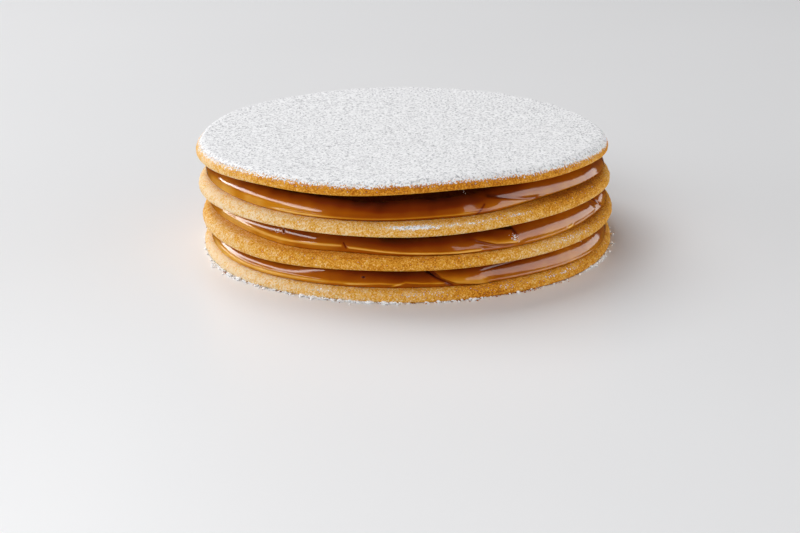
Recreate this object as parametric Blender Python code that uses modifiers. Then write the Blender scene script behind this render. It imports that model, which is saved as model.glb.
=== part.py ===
"""A round alfajor cake: four shortbread biscuits with thick dulce de leche between them, and icing sugar.

Everything is in metres. The cake stands on z = 0 with its axis on the origin, and its front faces -Y.
Azimuths are in degrees from the front and grow towards +X. A point's place on the cake is also given
as (right, front), its distances from the axis towards +X and -Y as shares of the cake's radius.
"""

import math
from typing import NamedTuple

import bmesh
import bpy
from mathutils import noise, Vector

# Driving dimensions.
CAKE_RADIUS = 0.110
BISCUIT_THICKNESS = 0.0064
CONTACT_GAP = 0.0003

# A biscuit's edge is rounded widely above, where it domed in the oven, and less below.
SHOULDER_WIDTH = 0.0046
FOOT_WIDTH = 0.0014
FOOT_HEIGHT = 0.0016

# The filling's side, from its lip on the biscuit below to where it meets the biscuit above.
FILLING_SIDE_LEVELS = (0.0, 0.1, 0.25, 0.45, 0.68, 0.88, 1.0)
FILLING_CORNER = 0.0012

# The dusting of icing sugar over the top biscuit.
SUGAR_THICKNESS = 0.0008
SUGAR_EDGE_THICKNESS = 0.0004
SUGAR_SHOULDER_ANGLES = (90, 66, 44, 26)

# How finely the turned shapes are divided.
TURN_STEPS = 90
INNER_RING = 0.5
SHOULDER_ANGLES = (90, 60, 30, 0)
FOOT_ANGLES = (0, -45, -90)
WELD_DISTANCE = 0.00001


class Swell(NamedTuple):
    """A local change round the rim: it peaks at an azimuth and fades over a width, both in degrees."""

    azimuth: float
    width: float
    amount: float


class Lobe(NamedTuple):
    """A fold of the filling that stands out of its side round one azimuth and level.

    It fades over its width round the cake, and over the shares below and above of the side's height.
    """

    azimuth: float
    width: float
    level: float
    below: float
    above: float
    amount: float


class Biscuit(NamedTuple):
    """One baked disc: its underside is a slightly bent plane, because it sank into soft filling.

    Round the rim, the swells raise the disc, the puffs thicken it and the bulges widen it.
    """

    name: str
    colour: tuple
    radius: float
    centre: tuple
    level: float
    rise: float = 0.0
    bow: float = 0.0
    twist: float = 0.0
    swells: tuple = ()
    puffs: tuple = ()
    bulges: tuple = ()
    wobble: float = 0.0004
    seed: float = 0.0


class Filling(NamedTuple):
    """One layer of dulce de leche: how far its lip and its top stay back from the rim."""

    name: str
    colour: tuple
    setback: float
    setback_swells: tuple
    recess: float
    recess_swells: tuple
    lobes: tuple


BISCUITS = (
    Biscuit(
        name="biscuit_base",
        colour=(0.62, 0.36, 0.12),
        radius=0.1089,
        centre=(0.0014, -0.0003),
        level=0.0,
        puffs=(Swell(0, 60, -0.0008), Swell(-62, 22, -0.0004)),
        bulges=(Swell(-46, 28, 0.0034), Swell(48, 26, 0.0030), Swell(2, 18, 0.0014), Swell(180, 60, 0.0012)),
        seed=1.0,
    ),
    Biscuit(
        name="biscuit_lower",
        colour=(0.56, 0.29, 0.09),
        radius=0.1095,
        centre=(0.0019, 0.0004),
        level=0.0148,
        rise=0.0003,
        swells=(
            Swell(-46, 22, -0.0017),
            Swell(-10, 14, 0.0004),
            Swell(28, 34, 0.0012),
            Swell(150, 40, 0.0006),
        ),
        puffs=(Swell(-55, 26, 0.0012), Swell(28, 24, -0.0006)),
        bulges=(Swell(-66, 26, 0.0018),),
        seed=2.0,
    ),
    Biscuit(
        name="biscuit_upper",
        colour=(0.66, 0.39, 0.13),
        radius=0.1097,
        centre=(0.0002, -0.0003),
        level=0.0312,
        rise=0.0020,
        bow=0.0010,
        swells=(
            Swell(-52, 16, 0.0003),
            Swell(0, 14, -0.0004),
            Swell(34, 18, 0.0013),
            Swell(62, 22, 0.0020),
            Swell(-150, 34, 0.0007),
        ),
        puffs=(Swell(62, 24, 0.0009), Swell(-60, 24, 0.0005)),
        bulges=(Swell(-75, 24, 0.0008),),
        seed=3.0,
    ),
    Biscuit(
        name="biscuit_top",
        colour=(0.60, 0.33, 0.11),
        radius=0.1100,
        centre=(-0.0011, 0.0),
        level=0.0494,
        rise=0.00435,
        bow=0.00215,
        twist=0.0007,
        swells=(
            Swell(-43, 12, 0.0006),
            Swell(-18, 16, -0.0010),
            Swell(18, 18, 0.0015),
            Swell(58, 16, 0.0012),
            Swell(100, 20, -0.0010),
            Swell(-121, 14, 0.0010),
        ),
        seed=4.0,
    ),
)

FILLINGS = (
    Filling(
        name="dulce_lower",
        colour=(0.30, 0.11, 0.015),
        setback=0.0036,
        setback_swells=(
            Swell(-50, 26, -0.0032),
            Swell(0, 12, 0.0009),
            Swell(60, 22, -0.0038),
            Swell(170, 40, 0.0012),
        ),
        recess=0.0016,
        recess_swells=(Swell(-5, 14, 0.0016),),
        lobes=(
            Lobe(38, 28, 0.30, 0.22, 0.70, 0.0014),
            Lobe(-45, 26, 0.40, 0.35, 0.55, 0.0012),
            Lobe(118, 22, 0.50, 0.35, 0.50, 0.0014),
            Lobe(-128, 30, 0.45, 0.35, 0.50, 0.0012),
        ),
    ),
    Filling(
        name="dulce_middle",
        colour=(0.28, 0.10, 0.013),
        setback=0.0048,
        setback_swells=(
            Swell(-82, 12, -0.0016),
            Swell(-48, 26, 0.0034),
            Swell(-18, 10, 0.0036),
            Swell(27, 16, -0.0010),
            Swell(86, 14, -0.0032),
        ),
        recess=0.0018,
        recess_swells=(Swell(0, 26, 0.0026), Swell(25, 6, 0.0022)),
        lobes=(
            Lobe(46, 18, 0.30, 0.24, 0.70, 0.0022),
            Lobe(24, 5, 0.30, 0.22, 0.22, 0.0010),
            Lobe(-46, 18, 0.60, 0.45, 0.45, 0.0018),
            Lobe(140, 30, 0.45, 0.35, 0.50, 0.0014),
            Lobe(-115, 26, 0.55, 0.35, 0.45, 0.0012),
        ),
    ),
    Filling(
        name="dulce_upper",
        colour=(0.26, 0.09, 0.011),
        setback=0.0044,
        setback_swells=(
            Swell(-90, 14, -0.0010),
            Swell(-56, 24, 0.0009),
            Swell(8, 14, 0.0032),
            Swell(43, 17, 0.0062),
            Swell(88, 14, -0.0028),
        ),
        recess=0.0022,
        recess_swells=(Swell(2, 26, 0.0036), Swell(20, 6, 0.0016)),
        lobes=(
            Lobe(45, 18, 0.34, 0.22, 0.62, 0.0048),
            Lobe(23, 8, 0.16, 0.16, 0.16, 0.0012),
            Lobe(-44, 24, 0.40, 0.35, 0.60, 0.0026),
            Lobe(125, 32, 0.42, 0.30, 0.55, 0.0026),
            Lobe(-140, 30, 0.40, 0.34, 0.50, 0.0022),
        ),
    ),
)

SUGAR_NAME = "icing_sugar"
SUGAR_COLOUR = (0.86, 0.86, 0.86)


def bell(distance, width):
    """One at no distance, falling smoothly towards zero past the width."""
    return math.exp(-((distance / width) ** 2))


def turn_between(azimuth, other):
    """The shortest turn between two azimuths, in degrees."""
    return (azimuth - other + 180.0) % 360.0 - 180.0


def swell_at(swells, azimuth):
    """The sum of the swells at an azimuth."""
    return sum(swell.amount * bell(turn_between(azimuth, swell.azimuth), swell.width) for swell in swells)


def lobes_at(lobes, azimuth, level):
    """How far the lobes push the filling's side out at an azimuth and level."""
    total = 0.0
    for lobe in lobes:
        across = bell(turn_between(azimuth, lobe.azimuth), lobe.width)
        height = lobe.below if level < lobe.level else lobe.above
        total += lobe.amount * across * bell(level - lobe.level, height)
    return total


def azimuth_of(x, y):
    """The azimuth of a point, in degrees from the front."""
    return math.degrees(math.atan2(x, -y))


def rim_share(x, y):
    """Zero inside the inner ring, growing evenly to one at the cake's radius."""
    reach = math.hypot(x, y) / CAKE_RADIUS
    return max(0.0, (reach - INNER_RING) / (1.0 - INNER_RING))


def underside(biscuit, x, y):
    """The height of a biscuit's underside over a point of the table."""
    right = x / CAKE_RADIUS
    front = -y / CAKE_RADIUS
    plane = biscuit.level + biscuit.rise * front
    bend = biscuit.bow * front * front + biscuit.twist * right * front
    return plane + bend + rim_share(x, y) * swell_at(biscuit.swells, azimuth_of(x, y))


def thickness(biscuit, x, y):
    """The thickness of a biscuit over a point of the table, away from its rounded edge."""
    return BISCUIT_THICKNESS + rim_share(x, y) * swell_at(biscuit.puffs, azimuth_of(x, y))


def topside(biscuit, x, y):
    """The height of a biscuit's flat upper face over a point of the table."""
    return underside(biscuit, x, y) + thickness(biscuit, x, y)


def rim_wobble(biscuit, azimuth):
    """How far a hand-rolled rim stands out from a true circle at an azimuth."""
    angle = math.radians(azimuth)
    place = Vector((2.0 * math.cos(angle), 2.0 * math.sin(angle), biscuit.seed))
    return biscuit.wobble * noise.noise(place)


def turned_mesh(name, profile):
    """Turn a profile of (radius, height) points, which runs down its outer side, about Z."""
    curve_mesh = bpy.data.meshes.new(name + "_profile")
    edges = [(index, index + 1) for index in range(len(profile) - 1)]
    curve_mesh.from_pydata([(radius, 0.0, height) for radius, height in profile], edges, [])
    turned = bpy.data.objects.new(name + "_profile", curve_mesh)
    bpy.context.scene.collection.objects.link(turned)
    screw = turned.modifiers.new("turn", "SCREW")
    screw.steps = TURN_STEPS
    screw.render_steps = TURN_STEPS
    screw.use_merge_vertices = True
    screw.merge_threshold = WELD_DISTANCE
    depsgraph = bpy.context.evaluated_depsgraph_get()
    mesh = bpy.data.meshes.new_from_object(turned.evaluated_get(depsgraph))
    mesh.name = name
    bpy.data.objects.remove(turned)
    bpy.data.meshes.remove(curve_mesh)
    return mesh


def warp(mesh, place):
    """Move every vertex of a mesh to the place that a function gives for it."""
    cage = bmesh.new()
    cage.from_mesh(mesh)
    for vertex in cage.verts:
        vertex.co = place(vertex.co)
    bmesh.ops.triangulate(cage, faces=cage.faces)
    bmesh.ops.recalc_face_normals(cage, faces=cage.faces)
    cage.to_mesh(mesh)
    cage.free()
    mesh.shade_smooth()
    mesh.set_sharp_from_angle(angle=math.radians(50))


def principled(name, colour, roughness, coat=0.0):
    """A material with a plain colour."""
    material = bpy.data.materials.new(name)
    material.use_nodes = True
    shader = material.node_tree.nodes["Principled BSDF"]
    shader.inputs["Base Color"].default_value = (*colour, 1.0)
    shader.inputs["Metallic"].default_value = 0.0
    shader.inputs["Roughness"].default_value = roughness
    shader.inputs["Coat Weight"].default_value = coat
    return material


def add_piece(mesh, material, collection):
    """Link a finished mesh as an object of the same name."""
    piece = bpy.data.objects.new(mesh.name, mesh)
    mesh.materials.append(material)
    collection.objects.link(piece)
    return piece


def arc(centre_radius, centre_height, width, height, angles):
    """Points of an upright elliptical arc, by angles in degrees above the horizontal."""
    points = []
    for angle in angles:
        turn = math.radians(angle)
        points.append((centre_radius + width * math.cos(turn), centre_height + height * math.sin(turn)))
    return points


def biscuit_edge_profile(radius):
    """The rounded edge of a biscuit, from its upper face round to its underside."""
    shoulder_height = BISCUIT_THICKNESS - FOOT_HEIGHT
    shoulder = arc(radius - SHOULDER_WIDTH, FOOT_HEIGHT, SHOULDER_WIDTH, shoulder_height, SHOULDER_ANGLES)
    foot = arc(radius - FOOT_WIDTH, FOOT_HEIGHT, FOOT_WIDTH, FOOT_HEIGHT, FOOT_ANGLES)
    return shoulder + foot[1:]


def biscuit_profile(radius):
    """A biscuit's whole profile, from the middle of its top to the middle of its underside."""
    inner = INNER_RING * CAKE_RADIUS
    top = [(0.0, BISCUIT_THICKNESS), (inner, BISCUIT_THICKNESS)]
    bottom = [(inner, 0.0), (0.0, 0.0)]
    return top + biscuit_edge_profile(radius) + bottom


def biscuit_place(biscuit, point):
    """Where a point of a biscuit's turned profile goes on the finished biscuit."""
    azimuth = azimuth_of(point.x, point.y)
    radius = math.hypot(point.x, point.y)
    widening = rim_wobble(biscuit, azimuth) + swell_at(biscuit.bulges, azimuth)
    stretch = 1.0 + widening * (radius / biscuit.radius) ** 2 / CAKE_RADIUS
    x = point.x * stretch + biscuit.centre[0]
    y = point.y * stretch + biscuit.centre[1]
    share = point.z / BISCUIT_THICKNESS
    above = max(0.0, point.z - BISCUIT_THICKNESS)
    height = min(share, 1.0) * thickness(biscuit, x, y) + above
    return Vector((x, y, underside(biscuit, x, y) + height))


def make_biscuit(biscuit, collection):
    """One shortbread disc."""
    mesh = turned_mesh(biscuit.name, biscuit_profile(biscuit.radius))
    warp(mesh, lambda point: biscuit_place(biscuit, point))
    material = principled(biscuit.name, biscuit.colour, roughness=0.75)
    add_piece(mesh, material, collection)


def filling_profile():
    """A plain disc of unit height, divided where the filling's side is shaped."""
    side = [(CAKE_RADIUS, level) for level in reversed(FILLING_SIDE_LEVELS)]
    inner = INNER_RING * CAKE_RADIUS
    return [(0.0, 1.0), (inner, 1.0)] + side + [(inner, 0.0), (0.0, 0.0)]


def filling_reach(filling, azimuth, level):
    """The filling's radius at an azimuth and at a level from 0, its lip, to 1, its top."""
    setback = filling.setback + swell_at(filling.setback_swells, azimuth)
    recess = filling.recess + swell_at(filling.recess_swells, azimuth)
    corner = FILLING_CORNER * abs(2.0 * level - 1.0) ** 6
    return CAKE_RADIUS - setback - recess * level ** 2 - corner + lobes_at(filling.lobes, azimuth, level)


def filling_place(filling, below, above, point):
    """Where a point of the plain disc goes on the finished filling."""
    azimuth = azimuth_of(point.x, point.y)
    level = point.z
    stretch = filling_reach(filling, azimuth, level) / CAKE_RADIUS
    x = point.x * stretch + (below.centre[0] + above.centre[0]) / 2.0
    y = point.y * stretch + (below.centre[1] + above.centre[1]) / 2.0
    low = topside(below, x, y) + CONTACT_GAP
    high = underside(above, x, y) - CONTACT_GAP
    return Vector((x, y, low + (high - low) * level))


def make_filling(filling, below, above, collection):
    """One layer of dulce de leche, pressed out between two biscuits."""
    mesh = turned_mesh(filling.name, filling_profile())
    warp(mesh, lambda point: filling_place(filling, below, above, point))
    material = principled(filling.name, filling.colour, roughness=0.2, coat=0.5)
    add_piece(mesh, material, collection)


def sugar_profile(radius):
    """The sugar's skin: over the biscuit's top and part of the way down its shoulder, then back."""
    shoulder_height = BISCUIT_THICKNESS - FOOT_HEIGHT
    centre_radius = radius - SHOULDER_WIDTH
    outer = []
    inner = []
    for angle in SUGAR_SHOULDER_ANGLES:
        share = (90 - angle) / (90 - SUGAR_SHOULDER_ANGLES[-1])
        depth = SUGAR_THICKNESS + (SUGAR_EDGE_THICKNESS - SUGAR_THICKNESS) * share
        for offset, points in ((CONTACT_GAP + depth, outer), (CONTACT_GAP, inner)):
            width = SHOULDER_WIDTH + offset
            points += arc(centre_radius, FOOT_HEIGHT, width, shoulder_height + offset, [angle])
    middle_ring = INNER_RING * CAKE_RADIUS
    outer_height = outer[0][1]
    inner_height = inner[0][1]
    top = [(0.0, outer_height), (middle_ring, outer_height)]
    bottom = [(middle_ring, inner_height), (0.0, inner_height)]
    return top + outer + list(reversed(inner)) + bottom


def make_sugar(biscuit, collection):
    """The thin layer of icing sugar on the top biscuit."""
    mesh = turned_mesh(SUGAR_NAME, sugar_profile(biscuit.radius))
    warp(mesh, lambda point: biscuit_place(biscuit, point))
    material = principled(SUGAR_NAME, SUGAR_COLOUR, roughness=0.9)
    add_piece(mesh, material, collection)


def main():
    """Build the cake from the plate up."""
    for leftover in list(bpy.data.objects):
        bpy.data.objects.remove(leftover)
    collection = bpy.data.collections.new("alfajor_cake")
    bpy.context.scene.collection.children.link(collection)
    for biscuit in BISCUITS:
        make_biscuit(biscuit, collection)
    for filling, below, above in zip(FILLINGS, BISCUITS, BISCUITS[1:]):
        make_filling(filling, below, above, collection)
    make_sugar(BISCUITS[-1], collection)


main()
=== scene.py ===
"""The looks of a round alfajor cake: baked shortbread, glossy dulce de leche and icing sugar.

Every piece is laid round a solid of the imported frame. Lengths are in metres, apart from a stroke's.
Azimuths are in degrees from the front of the cake, which faces -Y, and they grow towards +X.
"""

import itertools
import math
from typing import NamedTuple

import bpy
import numpy as np
from mathutils import Matrix, Vector
from mathutils.bvhtree import BVHTree


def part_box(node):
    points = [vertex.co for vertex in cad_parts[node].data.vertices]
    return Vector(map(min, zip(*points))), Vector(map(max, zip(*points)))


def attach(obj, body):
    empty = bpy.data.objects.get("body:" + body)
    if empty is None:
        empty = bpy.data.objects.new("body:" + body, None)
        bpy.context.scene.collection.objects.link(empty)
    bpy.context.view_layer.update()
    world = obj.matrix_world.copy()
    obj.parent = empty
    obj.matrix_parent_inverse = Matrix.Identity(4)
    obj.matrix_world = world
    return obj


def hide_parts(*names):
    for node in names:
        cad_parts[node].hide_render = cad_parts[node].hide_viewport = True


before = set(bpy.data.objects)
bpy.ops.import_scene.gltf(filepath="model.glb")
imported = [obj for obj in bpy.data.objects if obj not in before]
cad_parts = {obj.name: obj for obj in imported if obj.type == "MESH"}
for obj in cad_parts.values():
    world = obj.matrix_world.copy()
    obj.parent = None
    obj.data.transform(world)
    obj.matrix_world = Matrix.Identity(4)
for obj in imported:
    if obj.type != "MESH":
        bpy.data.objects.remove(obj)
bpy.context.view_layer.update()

MM = 0.001

# How finely the pieces are divided round the cake, and how finely the solids are read.
COLUMNS = 1440
READINGS = 360
READING_WAVES = 26
DISC_RINGS = 158

# The rounded edge of a biscuit, as the solids have it. The foot takes up its share of the height.
SHOULDER_WIDTH = 4.6 * MM
FOOT_WIDTH = 1.4 * MM
FOOT_SHARE = 0.25
EDGE_ROWS = 15
FOOT_ROWS = 9

# How far in from the rim a biscuit's faces are read, clear of its rounded edge.
UNDERSIDE_READ_IN = 1.3 * FOOT_WIDTH
TOPSIDE_READ_IN = 1.2 * SHOULDER_WIDTH
FILLING_READ_IN = 1.25 * SHOULDER_WIDTH

# Rays start this far out, well clear of the cake.
FAR = 0.3

# How deep the fillings and the sugar are sunk into the biscuits, so that no gap shows.
EMBED = 0.15 * MM

# Seeds of the random draws.
BISCUIT_SEED = 100
FILLING_SEED = 300
LAYER_SEED_STEP = 7
FALLEN_SUGAR_SEED = 501
FALLEN_CRUMB_SEED = 502
CAUGHT_SUGAR_SEED = 601


class Swell(NamedTuple):
    """A local change round the rim: it peaks at an azimuth and fades over a width, both in degrees."""

    azimuth: float
    width: float
    amount: float


class Slope(NamedTuple):
    """How a filling's side leans back as it rises.

    Its tilt is SLOPE_TILT at the level, and it grows by the gain in degrees over the whole height.
    Both are larger towards the sides of the cake, so the gloss keeps its level all round the front.
    The whole side is tucked in by the tuck, and the turns change the tilt here and there, in degrees.
    """

    level: float
    gain: float
    tuck: float
    turns: tuple


class Stroke(NamedTuple):
    """A ridge on a filling's side, a groove where its height is negative, or a mere tint where it is 0.

    Its path runs through points of (azimuth, level), where level goes from 0 at the filling's lip to 1
    at its top. It fades over the lengths below and above, and over the length taper at its ends. Its
    height and these lengths are in millimetres. The filling is lighter along it by the tint, or darker
    where the tint is negative: a painted highlight along ridges and lips, and painted shade in grooves,
    creases and hollows.
    """

    path: tuple
    height: float
    below: float
    above: float
    taper: float
    tint: float = 0.0


class Roughness(NamedTuple):
    """Noise on a surface: its height, how wide its features are, its seed and its layers."""

    height: float
    cell: float
    seed: int
    layers: int = 1


# ---------------------------------------------------------------- numbers and noise

NOISE_VALUES = 8192
NOISE_PRIMES = (73856093, 19349663, 83492791)
NOISE_OFFSET = 1000.0


def bell(distance, width):
    """One at no distance, falling smoothly towards zero past the width."""
    return np.exp(-((distance / width) ** 2))


def turn_between(azimuth, other):
    """The shortest turn between two azimuths, in degrees."""
    return (azimuth - other + 180.0) % 360.0 - 180.0


def swell_at(swells, azimuth):
    """The sum of the swells at each azimuth."""
    total = np.zeros_like(azimuth)
    for swell in swells:
        total += swell.amount * bell(turn_between(azimuth, swell.azimuth), swell.width)
    return total


def lattice_noise(points, cell, seed):
    """Smooth noise between -1 and 1 at each point, with features about one cell across."""
    table = np.random.default_rng(seed).uniform(-1.0, 1.0, NOISE_VALUES)
    place = points / cell + NOISE_OFFSET
    base = np.floor(place).astype(np.int64)
    part = place - base
    ease = part * part * (3.0 - 2.0 * part)
    total = np.zeros(len(points))
    for corner in itertools.product((0, 1), repeat=3):
        key = np.bitwise_xor.reduce((base + np.array(corner)) * np.array(NOISE_PRIMES), axis=1)
        weight = np.where(corner, ease, 1.0 - ease).prod(axis=1)
        total += weight * table[key % NOISE_VALUES]
    return total


def roughness_at(points, kinds, seed=0):
    """The sum of several kinds of roughness at each point.

    The layers of each kind are noise, every one half as wide and half as strong as the one before.
    """
    total = np.zeros(len(points))
    for kind in kinds:
        for layer in range(kind.layers):
            noise = lattice_noise(points, kind.cell / 2 ** layer, seed + kind.seed + layer)
            total += kind.height * noise / 2 ** layer
    return total


def smooth_ring(readings, count):
    """Evenly spaced readings round a ring, freed of facets and read at count places."""
    waves = np.fft.rfft(readings)
    numbers = np.arange(len(waves))
    waves *= np.exp(-((numbers / READING_WAVES) ** 2))
    return np.fft.irfft(waves, count) * (count / len(readings))


COLUMN_AZIMUTHS = np.arange(COLUMNS) * 360.0 / COLUMNS
READ_AZIMUTHS = np.arange(READINGS) * 360.0 / READINGS


def column_at(azimuths):
    """The column nearest to each azimuth."""
    return np.round(azimuths % 360.0 / 360.0 * COLUMNS).astype(int) % COLUMNS


def outward(azimuths):
    """Unit vectors in the plane of the table, pointing away from the axis."""
    turn = np.radians(azimuths)
    return np.stack([np.sin(turn), -np.cos(turn)], axis=-1)


# ---------------------------------------------------------------- reading the solids


class Solid:
    """A node of the frame, to be measured with rays."""

    def __init__(self, node):
        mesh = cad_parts[node].data
        corners = [vertex.co.copy() for vertex in mesh.vertices]
        self.tree = BVHTree.FromPolygons(corners, [tuple(face.vertices) for face in mesh.polygons])
        low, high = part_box(node)
        self.centre = np.array([(low.x + high.x) / 2.0, (low.y + high.y) / 2.0])

    def underside(self, places):
        """The height of the lower face over each place."""
        return self._heights(places, -FAR, Vector((0.0, 0.0, 1.0)))

    def topside(self, places):
        """The height of the upper face over each place."""
        return self._heights(places, FAR, Vector((0.0, 0.0, -1.0)))

    def _heights(self, places, start, direction):
        heights = []
        for x, y in places:
            hit = self.tree.ray_cast(Vector((x, y, start)), direction)[0]
            heights.append(hit.z)
        return np.array(heights)

    def reach(self, centre, azimuths, heights):
        """The distance from a centre to the outer face at each azimuth and height."""
        distances = []
        for way, height in zip(outward(azimuths), heights):
            start = Vector((centre[0] + FAR * way[0], centre[1] + FAR * way[1], height))
            hit = self.tree.ray_cast(start, Vector((-way[0], -way[1], 0.0)))[0]
            distances.append(math.hypot(hit.x - centre[0], hit.y - centre[1]))
        return np.array(distances)


class Rim:
    """The edge of a biscuit's solid, as smooth rings of radius, underside and topside."""

    def __init__(self, node):
        self.solid = Solid(node)
        self.centre = self.solid.centre
        box_low, box_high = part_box(node)
        radius = (box_high.x - box_low.x) / 2.0
        ways = outward(READ_AZIMUTHS)
        low = self.solid.underside(self.centre + ways * (radius - UNDERSIDE_READ_IN))
        high = self.solid.topside(self.centre + ways * (radius - TOPSIDE_READ_IN))
        reach = self.solid.reach(self.centre, READ_AZIMUTHS, low + FOOT_SHARE * (high - low))
        self.radius = smooth_ring(reach, COLUMNS)
        self.low = smooth_ring(low, COLUMNS)
        self.high = smooth_ring(high, COLUMNS)

    def places(self, radius):
        """Points of the table at a radius, one for each column."""
        return self.centre + outward(COLUMN_AZIMUTHS) * np.broadcast_to(radius, COLUMNS)[:, None]


# ---------------------------------------------------------------- making meshes


def mesh_object(name, points, faces):
    """A smooth shaded mesh object."""
    mesh = bpy.data.meshes.new(name)
    mesh.from_pydata(points.tolist(), [], faces)
    mesh.validate()
    mesh.shade_smooth()
    piece = bpy.data.objects.new(name, mesh)
    bpy.context.scene.collection.objects.link(piece)
    return piece


def wrapped_piece(name, rows, top, bottom):
    """A closed body from rings of points, top ring first, and the points that close it."""
    count = rows.shape[1]
    points = np.concatenate([rows.reshape(-1, 3), [top], [bottom]])
    here = np.arange(count)
    after = np.roll(here, -1)
    faces = []
    for row in range(len(rows) - 1):
        upper = row * count
        lower = upper + count
        faces += np.stack([upper + here, lower + here, lower + after, upper + after], axis=1).tolist()
    top_index = len(points) - 2
    last = (len(rows) - 1) * count
    neighbours = list(zip(here.tolist(), after.tolist()))
    faces += [[top_index, start, end] for start, end in neighbours]
    faces += [[top_index + 1, last + end, last + start] for start, end in neighbours]
    return mesh_object(name, points, faces)


def vertex_values(ring_values, top_value, bottom_value):
    """A value for each vertex of a wrapped piece, from one value a ring and one at each end."""
    return np.concatenate([np.repeat(ring_values, COLUMNS), [top_value, bottom_value]])


def points_of(piece):
    """The vertices of a piece as an array."""
    points = np.empty(len(piece.data.vertices) * 3)
    piece.data.vertices.foreach_get("co", points)
    return points.reshape(-1, 3)


def push_out(piece, amounts):
    """Move each vertex of a piece along its normal."""
    normals = np.empty(len(piece.data.vertices) * 3)
    piece.data.vertices.foreach_get("normal", normals)
    moved = points_of(piece) + normals.reshape(-1, 3) * amounts[:, None]
    piece.data.vertices.foreach_set("co", moved.ravel())
    piece.data.update()


def store(piece, name, values):
    """Keep a value for each vertex, for the piece's material to read."""
    attribute = piece.data.attributes.new(name, "FLOAT", "POINT")
    attribute.data.foreach_set("value", np.asarray(values, dtype=np.float32))


def finish_piece(piece, node_names, material):
    """Give a piece its material, hang it from the root body, and hide the nodes that it stands for."""
    piece.data.materials.append(material)
    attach(piece, "root")
    if node_names:
        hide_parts(*node_names)


# ---------------------------------------------------------------- materials


class Shading:
    """A material under construction, with short ways to add and join nodes."""

    def __init__(self, name):
        self.material = bpy.data.materials.new(name)
        self.material.use_nodes = True
        self.nodes = self.material.node_tree.nodes
        self.links = self.material.node_tree.links
        self.shader = self.nodes["Principled BSDF"]
        self.place = self.nodes.new("ShaderNodeTexCoord").outputs["Object"]

    def join(self, source, target):
        """Link an output, or set a plain value, on an input."""
        if isinstance(source, bpy.types.NodeSocket):
            self.links.new(source, target)
        else:
            target.default_value = source

    def settle(self, values):
        """Set inputs of the shader to plain values."""
        for name, value in values.items():
            self.shader.inputs[name].default_value = value

    def noise(self, size, detail=3.0, roughness=0.6):
        """Noise from 0 to 1 whose features are about size across."""
        node = self.nodes.new("ShaderNodeTexNoise")
        self.links.new(self.place, node.inputs["Vector"])
        node.inputs["Scale"].default_value = 1.0 / size
        node.inputs["Detail"].default_value = detail
        node.inputs["Roughness"].default_value = roughness
        return node.outputs["Fac"]

    def attribute(self, name):
        """A value stored on the mesh."""
        node = self.nodes.new("ShaderNodeAttribute")
        node.attribute_name = name
        return node.outputs["Fac"]

    def math(self, operation, first, second, clamp=False):
        """A sum, product or other operation of two values."""
        node = self.nodes.new("ShaderNodeMath")
        node.operation = operation
        node.use_clamp = clamp
        self.join(first, node.inputs[0])
        self.join(second, node.inputs[1])
        return node.outputs[0]

    def spread(self, value, low, high, to_low=0.0, to_high=1.0):
        """A value's range from low to high, stretched over another range and clamped to it."""
        node = self.nodes.new("ShaderNodeMapRange")
        self.join(value, node.inputs["Value"])
        node.inputs["From Min"].default_value = low
        node.inputs["From Max"].default_value = high
        node.inputs["To Min"].default_value = to_low
        node.inputs["To Max"].default_value = to_high
        return node.outputs["Result"]

    def ramp(self, value, stops):
        """Colours by a value; each stop is (position, linear colour)."""
        node = self.nodes.new("ShaderNodeValToRGB")
        self.links.new(value, node.inputs["Fac"])
        elements = node.color_ramp.elements
        while len(elements) < len(stops):
            elements.new(0.5)
        for element, (position, colour) in zip(elements, stops):
            element.position = position
            element.color = (*colour, 1.0)
        return node.outputs["Color"]

    def mix(self, share, first, second):
        """A blend of two colours."""
        node = self.nodes.new("ShaderNodeMix")
        node.data_type = "RGBA"
        self.join(share, node.inputs["Factor"])
        for colour, socket in ((first, node.inputs["A"]), (second, node.inputs["B"])):
            self.join(colour if isinstance(colour, bpy.types.NodeSocket) else (*colour, 1.0), socket)
        return node.outputs["Result"]

    def bump(self, height, distance, strength, under=None):
        """A bump from a height, over an earlier bump where one is given."""
        node = self.nodes.new("ShaderNodeBump")
        node.inputs["Distance"].default_value = distance
        node.inputs["Strength"].default_value = strength
        self.links.new(height, node.inputs["Height"])
        if under is not None:
            self.links.new(under, node.inputs["Normal"])
        return node.outputs["Normal"]


SUGAR_WHITE = (0.95, 0.95, 0.96)
SUGAR_SHADE = (0.42, 0.42, 0.44)
BARE_CRUMB = (0.60, 0.27, 0.06)

BISCUIT_STOPS = (
    (0.0, (0.90, 0.71, 0.47)),
    (0.35, (0.82, 0.44, 0.06)),
    (0.65, (0.66, 0.24, 0.012)),
    (1.0, (0.30, 0.07, 0.006)),
)

# Caramel from its darkest, which the painted shade under the biscuits reaches, to its palest.
DULCE_STOPS = (
    (0.0, (0.020, 0.0007, 0.0001)),
    (0.3, (0.20, 0.028, 0.0009)),
    (0.6, (0.40, 0.10, 0.002)),
    (0.8, (0.60, 0.23, 0.008)),
    (1.0, (0.86, 0.47, 0.09)),
)


def powder_colour(shading):
    """The white of icing sugar with its tiny shaded pits, and the grain that they follow."""
    grain = shading.noise(1.3 * MM, 4.0, 0.7)
    return shading.mix(shading.spread(grain, 0.36, 0.52), SUGAR_SHADE, SUGAR_WHITE), grain


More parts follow.
